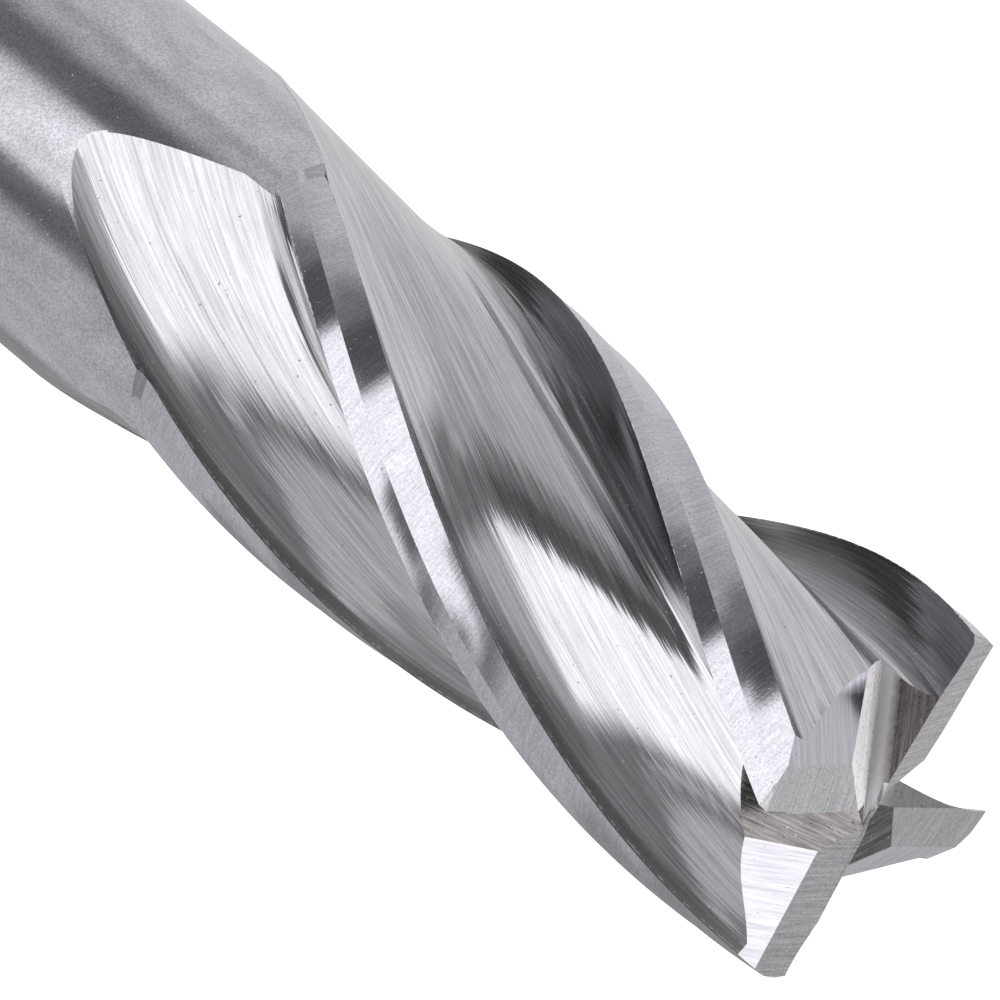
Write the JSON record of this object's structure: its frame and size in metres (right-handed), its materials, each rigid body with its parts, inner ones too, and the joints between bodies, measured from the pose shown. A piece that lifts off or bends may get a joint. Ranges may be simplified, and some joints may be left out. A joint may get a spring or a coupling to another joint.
{
  "type": "end mill",
  "caption": "Solid square end mill with helical flutes, ground end teeth and a plain round shank, held in a collet or chuck to cut metal.",
  "frame": {"origin": "middle of the shank's end face", "axes": "+Z runs along the tool's axis from the shank end to the cutting end; +X points to the outer corner of one long end tooth"},
  "size_m": [0.012, 0.012, 0.083],
  "materials": {
    "ground_steel": "bright ground tool steel with fine grinding lines"
  },
  "bodies": {
    "root": {"end_mill": "ground_steel"}
  },
  "joints": []
}
